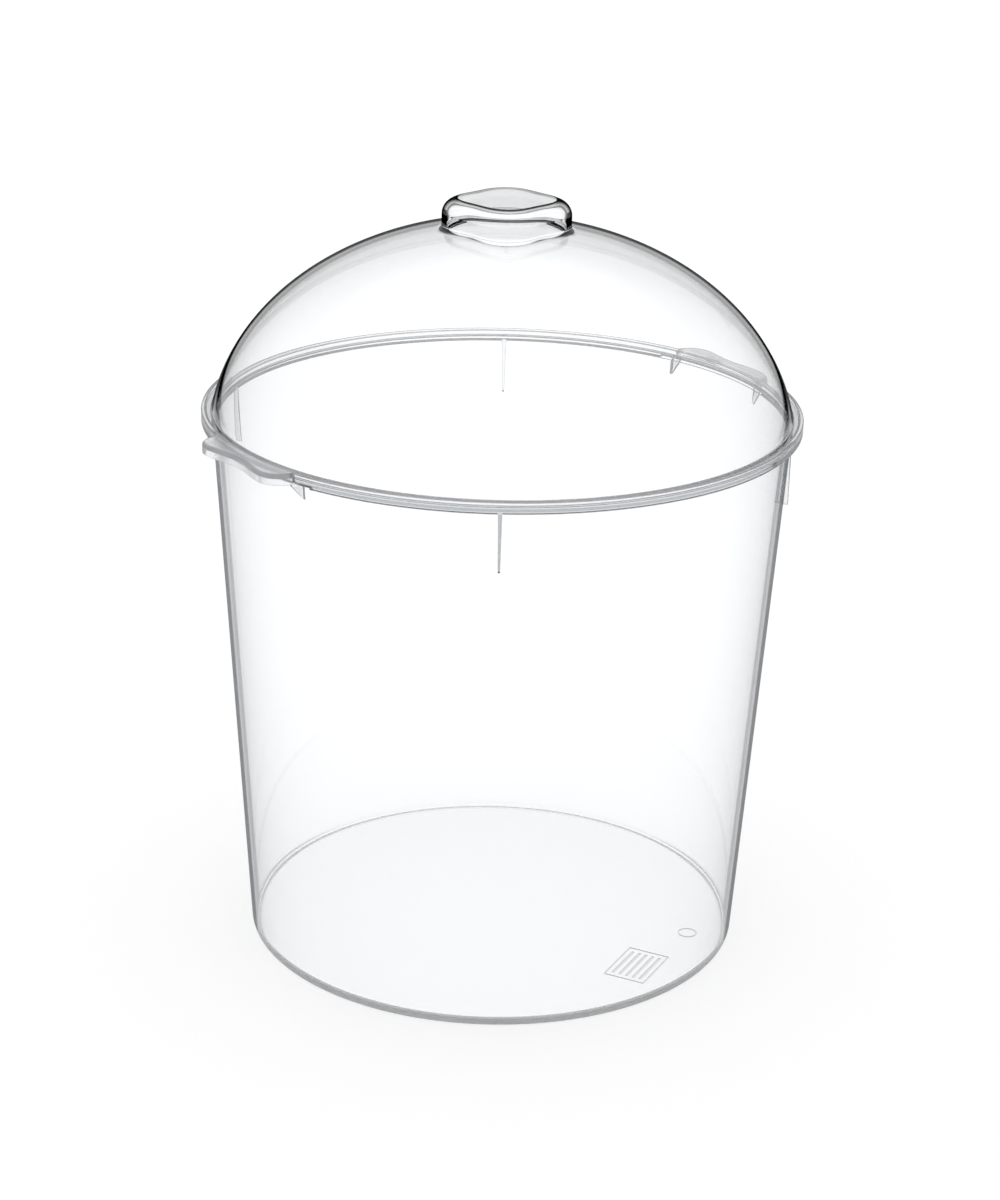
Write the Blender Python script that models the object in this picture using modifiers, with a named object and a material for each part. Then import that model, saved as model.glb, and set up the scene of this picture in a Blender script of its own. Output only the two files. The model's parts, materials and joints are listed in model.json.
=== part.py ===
"""Clear food storage bucket with a loose domed cover, at its real size in metres, +Z up.

The origin is the centre of the bucket's underside. The two carrying ears lie on the X axis.
The bucket and the cover are two separate mouldings: the cover's flange rests in the seat that
the bucket's rim forms, and the cover lifts straight off.
"""

from math import asin, cos, pi, radians, sin, sqrt, tan

import bpy
import bmesh
from mathutils import Matrix, Vector

# Bucket wall and floor
BUCKET_HEIGHT = 0.3273
BASE_RADIUS = 0.1484
WALL_TOP_RADIUS = 0.1688
WALL_THICKNESS = 0.0029
FLOOR_THICKNESS = 0.0032
BASE_EDGE_RADIUS = 0.0016
FLOOR_CORNER_RADIUS = 0.0060

# Rim: a ledge round the wall's top, with a raised lip on its outer edge
RIM_OVERHANG = 0.0062
RIM_LEDGE_THICKNESS = 0.0034
RIM_LIP_WIDTH = 0.0024
RIM_LIP_RISE = 0.0036
RIM_EDGE_RADIUS = 0.0007
RIM_NOTCH_DEPTH = 0.0013
RIM_NOTCH_HALF_ANGLE = radians(17)

# Carrying ears: a wavy plate with a turned-down edge, on a web at each end
EAR_REACH = 0.0098
EAR_WAIST_DEPTH = 0.0034
EAR_LOBE_OFFSET = 0.0275
EAR_HALF_WIDTH = 0.0412
EAR_RISE = 0.0004
EAR_DEPTH = 0.0064
EAR_PLATE_THICKNESS = 0.0030
EAR_EDGE_THICKNESS = 0.0022
EAR_ROOT_SHARE = 0.125
WEB_THICKNESS = 0.0022
WEB_LENGTH = 0.0082
WEB_HEIGHT = 0.0091

# Stacking fins under the rim
FIN_ANGLE = radians(53)
FIN_LENGTH = 0.0340
FIN_REACH = 0.0025
FIN_TOP_THICKNESS = 0.0026
FIN_FOOT_THICKNESS = 0.0013

# Domed cover
COVER_WALL_THICKNESS = 0.0025
FLANGE_THICKNESS = 0.0028
FLANGE_STEP = 0.0032
FLANGE_EDGE_RADIUS = 0.0006
DOME_RISE = 0.1080
DOME_CENTRE_DROP = 0.0208
SEAT_CLEARANCE = 0.0003
RIM_CLEARANCE = 0.0004

# Knob, hollow from below, a square with strongly rounded sides
KNOB_RADIUS = 0.0346
KNOB_RISE = 0.0150
KNOB_WALL_THICKNESS = 0.0025
KNOB_CORNER_RADIUS = 0.0090
KNOB_FOOT_FLARE = 0.0026
KNOB_FOOT_SINK = 0.0005
KNOB_FOOT_RADIUS = 0.0022
KNOB_SQUARE_SHARE = 0.075
KNOB_TURN = radians(53)

# Finish of the clear plastic
BUCKET_COLOUR = (0.93, 0.95, 0.96)
COVER_COLOUR = (0.95, 0.96, 0.97)
PLASTIC_ROUGHNESS = 0.04
PLASTIC_REFRACTION = 1.585

# How fine the round shapes are
TURN_STEPS = 72
DOME_STEPS = 15
KNOB_STEPS = 72
EAR_EDGE_STEPS = 6
EAR_END_STEPS = 5
EAR_ROOT_STEPS = 6
NOTCH_STEPS = 8
LARGE_ARC_STEPS = 4
SMALL_ARC_STEPS = 2
MERGE_DISTANCE = 0.00001
SHARP_ANGLE = radians(30)

# Overlap that fuses an added shape into the shape that carries it, and overrun of every cut
FUSE_DEPTH = 0.0012
CUT_OVERRUN = 0.0040

# Sizes that follow from those above
RIM_RADIUS = WALL_TOP_RADIUS + RIM_OVERHANG
LEDGE_HEIGHT = BUCKET_HEIGHT - RIM_LIP_RISE
RIM_UNDERSIDE = LEDGE_HEIGHT - RIM_LEDGE_THICKNESS
LIP_INNER_RADIUS = RIM_RADIUS - RIM_LIP_WIDTH
EAR_TOP = BUCKET_HEIGHT + EAR_RISE
EAR_LOBE_X = RIM_RADIUS + EAR_REACH
FLANGE_RADIUS = LIP_INNER_RADIUS - RIM_CLEARANCE
FLANGE_UNDERSIDE = LEDGE_HEIGHT + SEAT_CLEARANCE
FLANGE_TOP = FLANGE_UNDERSIDE + FLANGE_THICKNESS
DOME_FOOT_RADIUS = FLANGE_RADIUS - FLANGE_STEP
DOME_CENTRE_HEIGHT = FLANGE_TOP - DOME_CENTRE_DROP
DOME_HALF_HEIGHT = DOME_RISE + DOME_CENTRE_DROP
DOME_HALF_WIDTH = DOME_FOOT_RADIUS / sqrt(1 - (DOME_CENTRE_DROP / DOME_HALF_HEIGHT) ** 2)
KNOB_TOP = FLANGE_TOP + DOME_RISE + KNOB_RISE


def wall_radius(height):
    """Outer radius of the tapered wall at a height."""
    return BASE_RADIUS + (WALL_TOP_RADIUS - BASE_RADIUS) * height / RIM_UNDERSIDE


def dome_height(radius, inset=0):
    """Height of the dome's surface at a radius, with inset for its inner side."""
    share = radius / (DOME_HALF_WIDTH - inset)
    return DOME_CENTRE_HEIGHT + (DOME_HALF_HEIGHT - inset) * sqrt(1 - share ** 2)


def rounded_outline(corners):
    """Points of an open outline whose (x, y, radius, steps) corners are turned into arcs."""
    points = []
    for index, (x, y, radius, steps) in enumerate(corners):
        corner = Vector((x, y))
        if radius == 0:
            points.append(corner)
            continue
        back = Vector(corners[index - 1][:2]) - corner
        ahead = Vector(corners[index + 1][:2]) - corner
        half_angle = back.angle(ahead) / 2
        reach = min(radius / tan(half_angle), back.length / 2, ahead.length / 2)
        radius = reach * tan(half_angle)
        towards_centre = (back.normalized() + ahead.normalized()).normalized()
        centre = corner + towards_centre * radius / sin(half_angle)
        start = corner + back.normalized() * reach - centre
        end = corner + ahead.normalized() * reach - centre
        sweep = start.angle_signed(end)
        for step in range(steps + 1):
            points.append(centre + Matrix.Rotation(-sweep * step / steps, 2) @ start)
    return points


def start_collection(name):
    """Adds an empty collection to the scene."""
    collection = bpy.data.collections.new(name)
    bpy.context.scene.collection.children.link(collection)
    return collection


def clear_plastic(name, colour):
    """Clear polished polycarbonate."""
    material = bpy.data.materials.new(name)
    material.use_nodes = True
    shader = material.node_tree.nodes["Principled BSDF"]
    shader.inputs["Base Color"].default_value = (*colour, 1)
    shader.inputs["Roughness"].default_value = PLASTIC_ROUGHNESS
    shader.inputs["Metallic"].default_value = 0
    shader.inputs["IOR"].default_value = PLASTIC_REFRACTION
    shader.inputs["Transmission Weight"].default_value = 1
    return material


def add_object(name, mesh, collection):
    """Links a mesh to a collection as a named object."""
    piece = bpy.data.objects.new(name, mesh)
    collection.objects.link(piece)
    return piece


def as_helper(piece):
    """Marks an object as a shape that only cuts or joins others."""
    piece.hide_render = True
    piece.display_type = "WIRE"
    return piece


def turned(name, profile, collection):
    """A solid turned round Z from a profile that runs down its outer side."""
    mesh = bpy.data.meshes.new(name)
    points = [(point.x, 0, point.y) for point in profile]
    mesh.from_pydata(points, [(index, index + 1) for index in range(len(points) - 1)], [])
    piece = add_object(name, mesh, collection)
    screw = piece.modifiers.new("turn", "SCREW")
    screw.steps = TURN_STEPS
    screw.render_steps = TURN_STEPS
    screw.use_merge_vertices = True
    screw.merge_threshold = MERGE_DISTANCE
    screw.use_normal_calculate = False
    return piece


def plate(name, outline, thickness, placing, collection):
    """A flat plate from a closed outline, made a mesh and placed by a matrix."""
    curve = bpy.data.curves.new(name, "CURVE")
    curve.dimensions = "2D"
    curve.fill_mode = "BOTH"
    curve.extrude = thickness / 2
    spline = curve.splines.new("POLY")
    spline.points.add(len(outline) - 1)
    for point, (x, y) in zip(spline.points, outline):
        point.co = (x, y, 0, 1)
    spline.use_cyclic_u = True
    outline_object = add_object(name + "_outline", curve, collection)
    outline_object.matrix_world = placing
    bpy.context.view_layer.update()
    evaluated = outline_object.evaluated_get(bpy.context.evaluated_depsgraph_get())
    mesh = bpy.data.meshes.new_from_object(evaluated)
    shell = bmesh.new()
    shell.from_mesh(mesh)
    bmesh.ops.remove_doubles(shell, verts=shell.verts, dist=MERGE_DISTANCE)
    bmesh.ops.recalc_face_normals(shell, faces=shell.faces)
    shell.to_mesh(mesh)
    shell.free()
    piece = add_object(name, mesh, collection)
    piece.matrix_world = outline_object.matrix_world
    bpy.data.objects.remove(outline_object)
    bpy.data.curves.remove(curve)
    return as_helper(piece)


def lofted(name, rings, collection):
    """A solid through rings of equally many points, from the lowest up, closed by two fans."""
    shell = bmesh.new()
    loops = [[shell.verts.new(point) for point in ring] for ring in rings]
    count = len(loops[0])
    for lower, upper in zip(loops, loops[1:]):
        for index in range(count):
            after = (index + 1) % count
            shell.faces.new((lower[index], lower[after], upper[after], upper[index]))
    for loop, order in ((loops[0], -1), (loops[-1], 1)):
        middle = shell.verts.new(sum((vert.co for vert in loop), Vector()) / count)
        for index in range(count):
            corners = [loop[index], loop[(index + 1) % count], middle]
            shell.faces.new(corners[::order])
    mesh = bpy.data.meshes.new(name)
    shell.to_mesh(mesh)
    shell.free()
    return as_helper(add_object(name, mesh, collection))


def combine(piece, other, operation):
    """Joins another solid to a piece, or cuts it out."""
    boolean = piece.modifiers.new(other.name, "BOOLEAN")
    boolean.operation = operation
    boolean.solver = "EXACT"
    boolean.object = other


def finish(piece, material):
    """Gives a piece its material and shades its round faces smooth."""
    piece.data.materials.append(material)
    smooth = bpy.data.meshes.new_from_object(
        piece.evaluated_get(bpy.context.evaluated_depsgraph_get())
    )
    smooth.name = piece.name
    piece.modifiers.clear()
    piece.data = smooth
    smooth.shade_smooth()
    smooth.set_sharp_from_angle(angle=SHARP_ANGLE)


def bucket_profile():
    """Section of the bucket, from the floor's centre over the rim to the underside's centre."""
    inner_floor_radius = wall_radius(FLOOR_THICKNESS) - WALL_THICKNESS
    inner_top_radius = wall_radius(LEDGE_HEIGHT) - WALL_THICKNESS
    return rounded_outline([
        (0, FLOOR_THICKNESS, 0, 0),
        (inner_floor_radius, FLOOR_THICKNESS, FLOOR_CORNER_RADIUS, LARGE_ARC_STEPS),
        (inner_top_radius, LEDGE_HEIGHT, RIM_EDGE_RADIUS, SMALL_ARC_STEPS),
        (LIP_INNER_RADIUS, LEDGE_HEIGHT, RIM_EDGE_RADIUS, SMALL_ARC_STEPS),
        (LIP_INNER_RADIUS, BUCKET_HEIGHT, RIM_EDGE_RADIUS, SMALL_ARC_STEPS),
        (RIM_RADIUS, BUCKET_HEIGHT, RIM_EDGE_RADIUS, SMALL_ARC_STEPS),
        (RIM_RADIUS, RIM_UNDERSIDE, RIM_EDGE_RADIUS, SMALL_ARC_STEPS),
        (WALL_TOP_RADIUS, RIM_UNDERSIDE, RIM_EDGE_RADIUS, SMALL_ARC_STEPS),
        (BASE_RADIUS, 0, BASE_EDGE_RADIUS, LARGE_ARC_STEPS),
        (0, 0, 0, 0),
    ])


def arc_points(radius, half_angle, steps):
    """Points of an arc round the origin, from its end at -Y to its end at +Y."""
    angles = [half_angle * (2 * step / steps - 1) for step in range(steps + 1)]
    return [(radius * cos(angle), radius * sin(angle)) for angle in angles]


def ear_outline(inset, inner_radius):
    """Plan of an ear on +X: a wavy outer edge with a waist, elliptic ends and an inner arc."""
    waist_x = EAR_LOBE_X - EAR_WAIST_DEPTH - inset
    lobe_x = EAR_LOBE_X - inset
    half_width = EAR_HALF_WIDTH - inset
    root_x = sqrt(RIM_RADIUS ** 2 - half_width ** 2)
    half_edge = []
    for step in range(EAR_EDGE_STEPS):
        share = step / EAR_EDGE_STEPS
        wave_share = (1 - cos(pi * share)) / 2
        half_edge.append((waist_x + (lobe_x - waist_x) * wave_share, EAR_LOBE_OFFSET * share))
    for step in range(EAR_END_STEPS + 1):
        turn = pi / 2 * step / EAR_END_STEPS
        half_edge.append((
            root_x + (lobe_x - root_x) * cos(turn),
            EAR_LOBE_OFFSET + (half_width - EAR_LOBE_OFFSET) * sin(turn),
        ))
    inner_arc = arc_points(inner_radius, asin(half_width / inner_radius), EAR_ROOT_STEPS)
    mirrored_edge = [(x, -y) for x, y in half_edge[:0:-1]]
    return mirrored_edge + half_edge + inner_arc[::-1]


def at_height(height):
    """Placing of a plate that lies flat with its middle at a height."""
    return Matrix.Translation((0, 0, height))


def upright(angle, offset):
    """Placing of a plate that stands on end, its x outwards at an angle and its y up."""
    return Matrix.Rotation(angle, 4, "Z") @ Matrix.Translation((0, offset, 0)) @ Matrix.Rotation(
        pi / 2, 4, "X"
    )


def make_ear(name, angle, helpers):
    """One hollow ear, still without its webs."""
    turn = Matrix.Rotation(angle, 4, "Z")
    fused_radius = LIP_INNER_RADIUS + RIM_LIP_WIDTH * EAR_ROOT_SHARE
    ear = plate(
        name,
        ear_outline(0, fused_radius),
        EAR_DEPTH,
        turn @ at_height(EAR_TOP - EAR_DEPTH / 2),
        helpers,
    )
    hollow_depth = EAR_DEPTH - EAR_PLATE_THICKNESS
    hollow = plate(
        name + "_hollow",
        ear_outline(EAR_EDGE_THICKNESS, fused_radius - CUT_OVERRUN),
        hollow_depth + CUT_OVERRUN,
        turn @ at_height(EAR_TOP - EAR_DEPTH + (hollow_depth - CUT_OVERRUN) / 2),
        helpers,
    )
    combine(ear, hollow, "DIFFERENCE")
    return ear


def make_notch(name, angle, helpers):
    """A shallow cut that raises the rim's underside next to an ear."""
    inner_arc = arc_points(WALL_TOP_RADIUS + RIM_EDGE_RADIUS, RIM_NOTCH_HALF_ANGLE, NOTCH_STEPS)
    outer_arc = arc_points(RIM_RADIUS + CUT_OVERRUN, RIM_NOTCH_HALF_ANGLE, NOTCH_STEPS)
    return plate(
        name,
        outer_arc + inner_arc[::-1],
        RIM_NOTCH_DEPTH + CUT_OVERRUN,
        Matrix.Rotation(angle, 4, "Z") @ at_height(RIM_UNDERSIDE + (RIM_NOTCH_DEPTH - CUT_OVERRUN) / 2),
        helpers,
    )


def make_web(name, angle, side, helpers):
    """A triangular web that carries one end of an ear, in a plane along the ear's middle line."""
    offset = EAR_HALF_WIDTH - EAR_EDGE_THICKNESS + WEB_THICKNESS / 2
    tip_height = RIM_UNDERSIDE - WEB_HEIGHT
    wall_x = sqrt(wall_radius(tip_height) ** 2 - offset ** 2)
    lip_x = sqrt((LIP_INNER_RADIUS + RIM_LIP_WIDTH / 2) ** 2 - offset ** 2)
    top = EAR_TOP - EAR_PLATE_THICKNESS + FUSE_DEPTH / 2
    outer_x = wall_x + WEB_LENGTH
    rim_height = RIM_UNDERSIDE + RIM_NOTCH_DEPTH + FUSE_DEPTH
    outline = [
        (wall_x - FUSE_DEPTH, tip_height),
        (wall_x, tip_height),
        (outer_x, RIM_UNDERSIDE),
        (outer_x, top),
        (lip_x, top),
        (lip_x, rim_height),
        (wall_x - FUSE_DEPTH, rim_height),
    ]
    return plate(name, outline, WEB_THICKNESS, upright(angle, side * offset), helpers)


def make_fin(name, angle, helpers):
    """A stacking fin with an upright outer edge, thinner towards its foot."""
    foot = RIM_UNDERSIDE - FIN_LENGTH
    top = RIM_UNDERSIDE + FUSE_DEPTH
    outer_x = WALL_TOP_RADIUS + FIN_REACH
    outline = [
        (wall_radius(foot) - FUSE_DEPTH, foot),
        (outer_x, foot),
        (outer_x, top),
        (wall_radius(RIM_UNDERSIDE) - FUSE_DEPTH, top),
    ]
    fin = plate(name, outline, FIN_TOP_THICKNESS, upright(angle, 0), helpers)
    for vertex in fin.data.vertices:
        if vertex.co.y < (foot + top) / 2:
            vertex.co.z *= FIN_FOOT_THICKNESS / FIN_TOP_THICKNESS
    return fin


def make_bucket(parts, helpers):
    """The bucket: wall, floor and rim in one turned shell, with its ears, webs and fins."""
    bucket = turned("bucket", bucket_profile(), parts)
    for ear_name, ear_angle in (("right_ear", 0), ("left_ear", pi)):
        combine(bucket, make_notch(ear_name + "_notch", ear_angle, helpers), "DIFFERENCE")
        combine(bucket, make_ear(ear_name, ear_angle, helpers), "UNION")
        for number, side in enumerate((1, -1), start=1):
            web = make_web("%s_web_%d" % (ear_name, number), ear_angle, side, helpers)
            combine(bucket, web, "UNION")
    fin_angles = (FIN_ANGLE, pi - FIN_ANGLE, pi + FIN_ANGLE, -FIN_ANGLE)
    for number, fin_angle in enumerate(fin_angles, start=1):
        combine(bucket, make_fin("fin_%d" % number, fin_angle, helpers), "UNION")
    return bucket


def dome_arc(inset, foot_height):
    """Corners down one side of the dome, from its crown to its foot."""
    half_width = DOME_HALF_WIDTH - inset
    half_height = DOME_HALF_HEIGHT - inset
    foot_angle = asin((foot_height - DOME_CENTRE_HEIGHT) / half_height)
    corners = []
    for step in range(DOME_STEPS + 1):
        angle = pi / 2 + (foot_angle - pi / 2) * step / DOME_STEPS
        radius = half_width * cos(angle) if step else 0
        corners.append((radius, DOME_CENTRE_HEIGHT + half_height * sin(angle), 0, 0))
    return corners


def cover_profile():
    """Section of the cover, down its outer side, round the flange and up its inner side."""
    outer = dome_arc(0, FLANGE_TOP)
    inner = dome_arc(COVER_WALL_THICKNESS, FLANGE_UNDERSIDE)
    flange = [
        (FLANGE_RADIUS, FLANGE_TOP, FLANGE_EDGE_RADIUS, SMALL_ARC_STEPS),
        (FLANGE_RADIUS, FLANGE_UNDERSIDE, FLANGE_EDGE_RADIUS, SMALL_ARC_STEPS),
    ]
    return rounded_outline(outer + flange + inner[::-1])


def knob_rings(profile):
    """Rings of a square with strongly rounded sides, the low ones following the dome's curve."""
    foot_height, top_height = profile[0].y, profile[-1].y
    rings = []
    for radius, height in profile:
        follow_share = (top_height - height) / (top_height - foot_height)
        ring = []
        for step in range(KNOB_STEPS):
            angle = 2 * pi * step / KNOB_STEPS
            reach = radius * (1 + KNOB_SQUARE_SHARE * cos(4 * (angle - KNOB_TURN)))
            shift = follow_share * (dome_height(reach) - dome_height(radius))
            ring.append(Vector((reach * cos(angle), reach * sin(angle), height + shift)))
        rings.append(ring)
    return rings


def make_cover(parts, helpers):
    """The cover: a dome and flange in one turned shell, with its hollow knob."""
    cover = turned("dome_cover", cover_profile(), parts)
    foot_radius = KNOB_RADIUS + KNOB_FOOT_FLARE
    outer = rounded_outline([
        (foot_radius, dome_height(foot_radius) - KNOB_FOOT_SINK, 0, 0),
        (KNOB_RADIUS, dome_height(KNOB_RADIUS) + KNOB_FOOT_SINK, KNOB_FOOT_RADIUS, LARGE_ARC_STEPS),
        (KNOB_RADIUS, KNOB_TOP, KNOB_CORNER_RADIUS, LARGE_ARC_STEPS),
        (0, KNOB_TOP, 0, 0),
    ])[:-1]
    inner_radius = KNOB_RADIUS - KNOB_WALL_THICKNESS
    inner_top = KNOB_TOP - KNOB_WALL_THICKNESS
    inner_corner = max(KNOB_CORNER_RADIUS - KNOB_WALL_THICKNESS, KNOB_WALL_THICKNESS)
    inner = rounded_outline([
        (inner_radius, dome_height(inner_radius, COVER_WALL_THICKNESS) - CUT_OVERRUN, 0, 0),
        (inner_radius, inner_top, inner_corner, LARGE_ARC_STEPS),
        (0, inner_top, 0, 0),
    ])[:-1]
    combine(cover, lofted("knob", knob_rings(outer), helpers), "UNION")
    combine(cover, lofted("knob_hollow", knob_rings(inner), helpers), "DIFFERENCE")
    return cover


def main():
    for old in list(bpy.data.objects):
        bpy.data.objects.remove(old)
    parts = start_collection("food_storage_bucket")
    helpers = start_collection("cutters")
    bucket = make_bucket(parts, helpers)
    cover = make_cover(parts, helpers)
    bpy.context.view_layer.update()
    finish(bucket, clear_plastic("bucket_plastic", BUCKET_COLOUR))
    finish(cover, clear_plastic("cover_plastic", COVER_COLOUR))


main()
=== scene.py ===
"""Looks of a clear food storage bucket with a loose domed cover, in metres, +Z up.

The bucket and the cover are turned and moulded shells of clear polycarbonate on a white studio
floor. Each operator makes one group of shapes, and the panel lists them in the order of making.
"""

import json
from math import asin, atan2, cos, hypot, pi, radians, sin, sqrt

import bmesh
import bpy
from bpy.props import FloatProperty, FloatVectorProperty, IntProperty, PointerProperty
from mathutils import Matrix, Vector

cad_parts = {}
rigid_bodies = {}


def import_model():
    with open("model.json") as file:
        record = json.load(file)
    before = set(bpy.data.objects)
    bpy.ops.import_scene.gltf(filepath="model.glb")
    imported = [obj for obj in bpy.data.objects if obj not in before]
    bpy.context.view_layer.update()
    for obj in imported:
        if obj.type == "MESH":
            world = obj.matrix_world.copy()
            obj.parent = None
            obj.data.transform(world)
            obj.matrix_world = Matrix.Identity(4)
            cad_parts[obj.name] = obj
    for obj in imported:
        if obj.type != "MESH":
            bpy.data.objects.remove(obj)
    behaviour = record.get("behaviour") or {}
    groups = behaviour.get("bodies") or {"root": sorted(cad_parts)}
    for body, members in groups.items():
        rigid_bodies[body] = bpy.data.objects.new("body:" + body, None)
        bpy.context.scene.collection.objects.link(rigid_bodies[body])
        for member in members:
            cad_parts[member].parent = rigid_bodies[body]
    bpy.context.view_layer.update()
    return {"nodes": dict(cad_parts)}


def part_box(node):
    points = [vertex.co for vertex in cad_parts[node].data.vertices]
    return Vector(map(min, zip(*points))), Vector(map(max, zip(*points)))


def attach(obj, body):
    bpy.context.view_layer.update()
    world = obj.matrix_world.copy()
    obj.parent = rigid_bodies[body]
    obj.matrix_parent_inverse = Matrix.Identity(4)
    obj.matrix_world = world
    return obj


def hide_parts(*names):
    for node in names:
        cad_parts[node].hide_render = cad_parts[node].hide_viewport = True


for old in list(bpy.data.objects):
    bpy.data.objects.remove(old)
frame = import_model()

bl_info = {
    "name": "Clear storage bucket",
    "version": (1, 0, 0),
    "blender": (4, 5, 0),
    "location": "3D View > Sidebar > Bucket",
    "description": "Models a clear storage bucket with a domed cover and its studio",
    "category": "Object",
}

# Sizes read from the packed frame
BUCKET_LOW, BUCKET_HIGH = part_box("bucket")
COVER_LOW, COVER_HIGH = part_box("dome_cover")
RIM_RADIUS = BUCKET_HIGH.y
EAR_TOP = BUCKET_HIGH.z
EAR_LOBE_X = BUCKET_HIGH.x
FLANGE_RADIUS = COVER_HIGH.x
FLANGE_UNDERSIDE = COVER_LOW.z
KNOB_TOP = COVER_HIGH.z

# Distance within which two places count as one, and how far joined or cutting shapes run over
TOUCH = 0.00002
FUSE = 0.0012
OVERRUN = 0.004

# Segments of roundings, and the angle past which an edge is shaded sharp
LARGE_SEGMENTS = 10
SMALL_SEGMENTS = 4
MARK_STEPS = 48
SHARP_ANGLE = radians(32)
SHADING_WEIGHT = 80

# Where the painted edge shade starts and is full, from 0 for a face seen head on to 1 along the
# surface
WALL_GRAZING = (0.835, 0.86)
DOME_GRAZING = (0.86, 0.89)
KNOB_GRAZING = (0.56, 0.72)

# How level a face has to lie, from 0 upright to 1 level, to be past a side or to be a top
KNOB_SIDE_END = 0.35
EAR_TOP_START = 0.7
KNOB_TOP_START = 0.998

# How far a face has to look away from the axis to be an outer one, as a share of the rim's radius
OUTWARD_SHARE = 0.7

# Light is scattered up to so many floor thicknesses, and from this share of the rim's height on
SCATTER_FLOORS = 3
SCATTER_TOP_SHARE = 0.9

# Grain of the plastic's haze, and the most surfaces passed by light from the first wall
HAZE_SCALE = 14
INNER_PASSES = 2

# Share of the dark ring's radius at which the mirrored floor starts to darken towards it
RING_FADE_SHARE = 0.94

# Sines of the elevations at which the mirrored light above the horizon changes
SKY_STEPS = (0.05, 0.28, 0.55, 0.8)

# Places of the two colours and of the result on a mix node
MIX_COLOURS = (6, 7)
MIX_RESULT = 2

# Focal length and picture height of the camera in millimetres
LENS = 85.011
PICTURE_HEIGHT = 36

# The record's material slot of each moulding
SLOTS = {"bucket": "bucket_plastic", "dome_cover": "cover_plastic"}


def length(name, description, default):
    """A length in metres that a user may change."""
    return FloatProperty(
        name=name, description=description, default=default, min=0, unit="LENGTH", precision=5
    )


def angle(name, description, degrees):
    """An angle that a user may change."""
    return FloatProperty(
        name=name, description=description, default=radians(degrees), unit="ROTATION"
    )


def share(name, description, default):
    """A share from 0 to 1 that a user may change."""
    return FloatProperty(
        name=name, description=description, default=default, min=0, max=1, subtype="FACTOR"
    )


def colour(name, description, default):
    """A colour that a user may change."""
    return FloatVectorProperty(
        name=name, description=description, default=default, size=3, min=0, max=1, subtype="COLOR"
    )


def count(name, description, default):
    """How often a shape is divided or repeated."""
    return IntProperty(name=name, description=description, default=default, min=1)


class BucketSizes(bpy.types.PropertyGroup):
    """Sizes of the bucket's turned shell."""

    base_radius: length("Base radius", "Wall's outer radius at the underside", 0.1484)
    wall_top_radius: length("Wall top radius", "Wall's outer radius under the rim", 0.1688)
    wall: length("Wall", "Thickness of the wall", 0.0029)
    floor: length("Floor", "Thickness of the floor", 0.0026)
    base_edge: length("Base edge radius", "Rounding of the underside's edge", 0.0016)
    floor_corner: length("Floor corner radius", "Rounding where floor and wall meet inside", 0.0035)
    ledge: length("Ledge thickness", "Thickness of the rim's ledge", 0.0034)
    lip: length("Lip width", "Width of the rim's raised lip", 0.0024)
    lip_rise: length("Lip rise", "Height of the lip over the ledge", 0.0036)
    edge: length("Rim edge radius", "Rounding of the rim's edges", 0.0007)
    notch_depth: length("Notch depth", "Rise of the rim's underside next to each ear", 0.0013)
    notch_half_angle: angle("Notch half angle", "Half the angle that each notch spans", 17)
    ear_rise: length("Ear rise", "Height of the ears' top over the rim", 0.0004)
    steps: count("Steps around", "Flat steps in one turn", 288)


class EarSizes(bpy.types.PropertyGroup):
    """Sizes of the two carrying ears and their webs."""

    waist: length("Waist depth", "Draw-in of the outer edge between the lobes", 0.0034)
    lobe_offset: length("Lobe offset", "Distance of each lobe from the ear's middle", 0.0275)
    half_width: length("Half width", "Half the ear's width along the rim", 0.0412)
    depth: length("Depth", "Height of the turned-down edge", 0.0064)
    plate: length("Plate", "Thickness of the ear's top plate", 0.0030)
    rim: length("Edge thickness", "Thickness of the turned-down edge", 0.0022)
    edge: length("Edge radius", "Rounding of the ear's top edge", 0.0020)
    foot_edge: length("Foot edge radius", "Rounding of the turned-down edge's foot", 0.0005)
    root: length("Root", "How far the ear's root reaches into the lip", 0.0021)
    web: length("Web thickness", "Thickness of each web", 0.0022)
    web_length: length("Web length", "Reach of each web from the wall", 0.0082)
    web_height: length("Web height", "Height of each web under the rim", 0.0091)
    steps: count("Steps", "Flat steps along half of the ear's outer edge", 64)
    root_steps: count("Root steps", "Flat steps along the ear's root", 16)


class FinSizes(bpy.types.PropertyGroup):
    """Sizes of the four stacking fins under the rim."""

    place: angle("Place", "Angle of the fins from the ears' line", 53)
    height: length("Length", "Length of each fin down the wall", 0.0340)
    reach: length("Reach", "Reach of each fin past the wall's top", 0.0025)
    top: length("Top thickness", "Thickness of each fin at the rim", 0.0026)
    foot: length("Foot thickness", "Thickness of each fin at its foot", 0.0013)


class MarkSizes(bpy.types.PropertyGroup):
    """Sizes of the plain marks engraved in the underside."""

    depth: length("Depth", "Depth of the engraved lines", 0.0004)
    line: length("Line width", "Width of the ring's and the frame's line", 0.0009)
    ring: length("Ring radius", "Radius of the plain ring", 0.0058)
    ring_reach: length("Ring reach", "Distance of the ring from the axis", 0.1242)
    ring_place: angle("Ring place", "Angle of the ring from the ears' line", -51.2)
    frame_length: length("Frame length", "Length of the plain frame", 0.0380)
    frame_width: length("Frame width", "Width of the plain frame", 0.0258)
    frame_reach: length("Frame reach", "Distance of the frame from the axis", 0.1142)
    frame_place: angle("Frame place", "Angle of the frame from the ears' line", -77.1)
    frame_turn: angle("Frame turn", "Angle of the frame's long side", 26.4)
    bars: count("Bars", "Plain bars inside the frame", 5)
    bar: length("Bar width", "Width of each bar", 0.0017)


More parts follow.
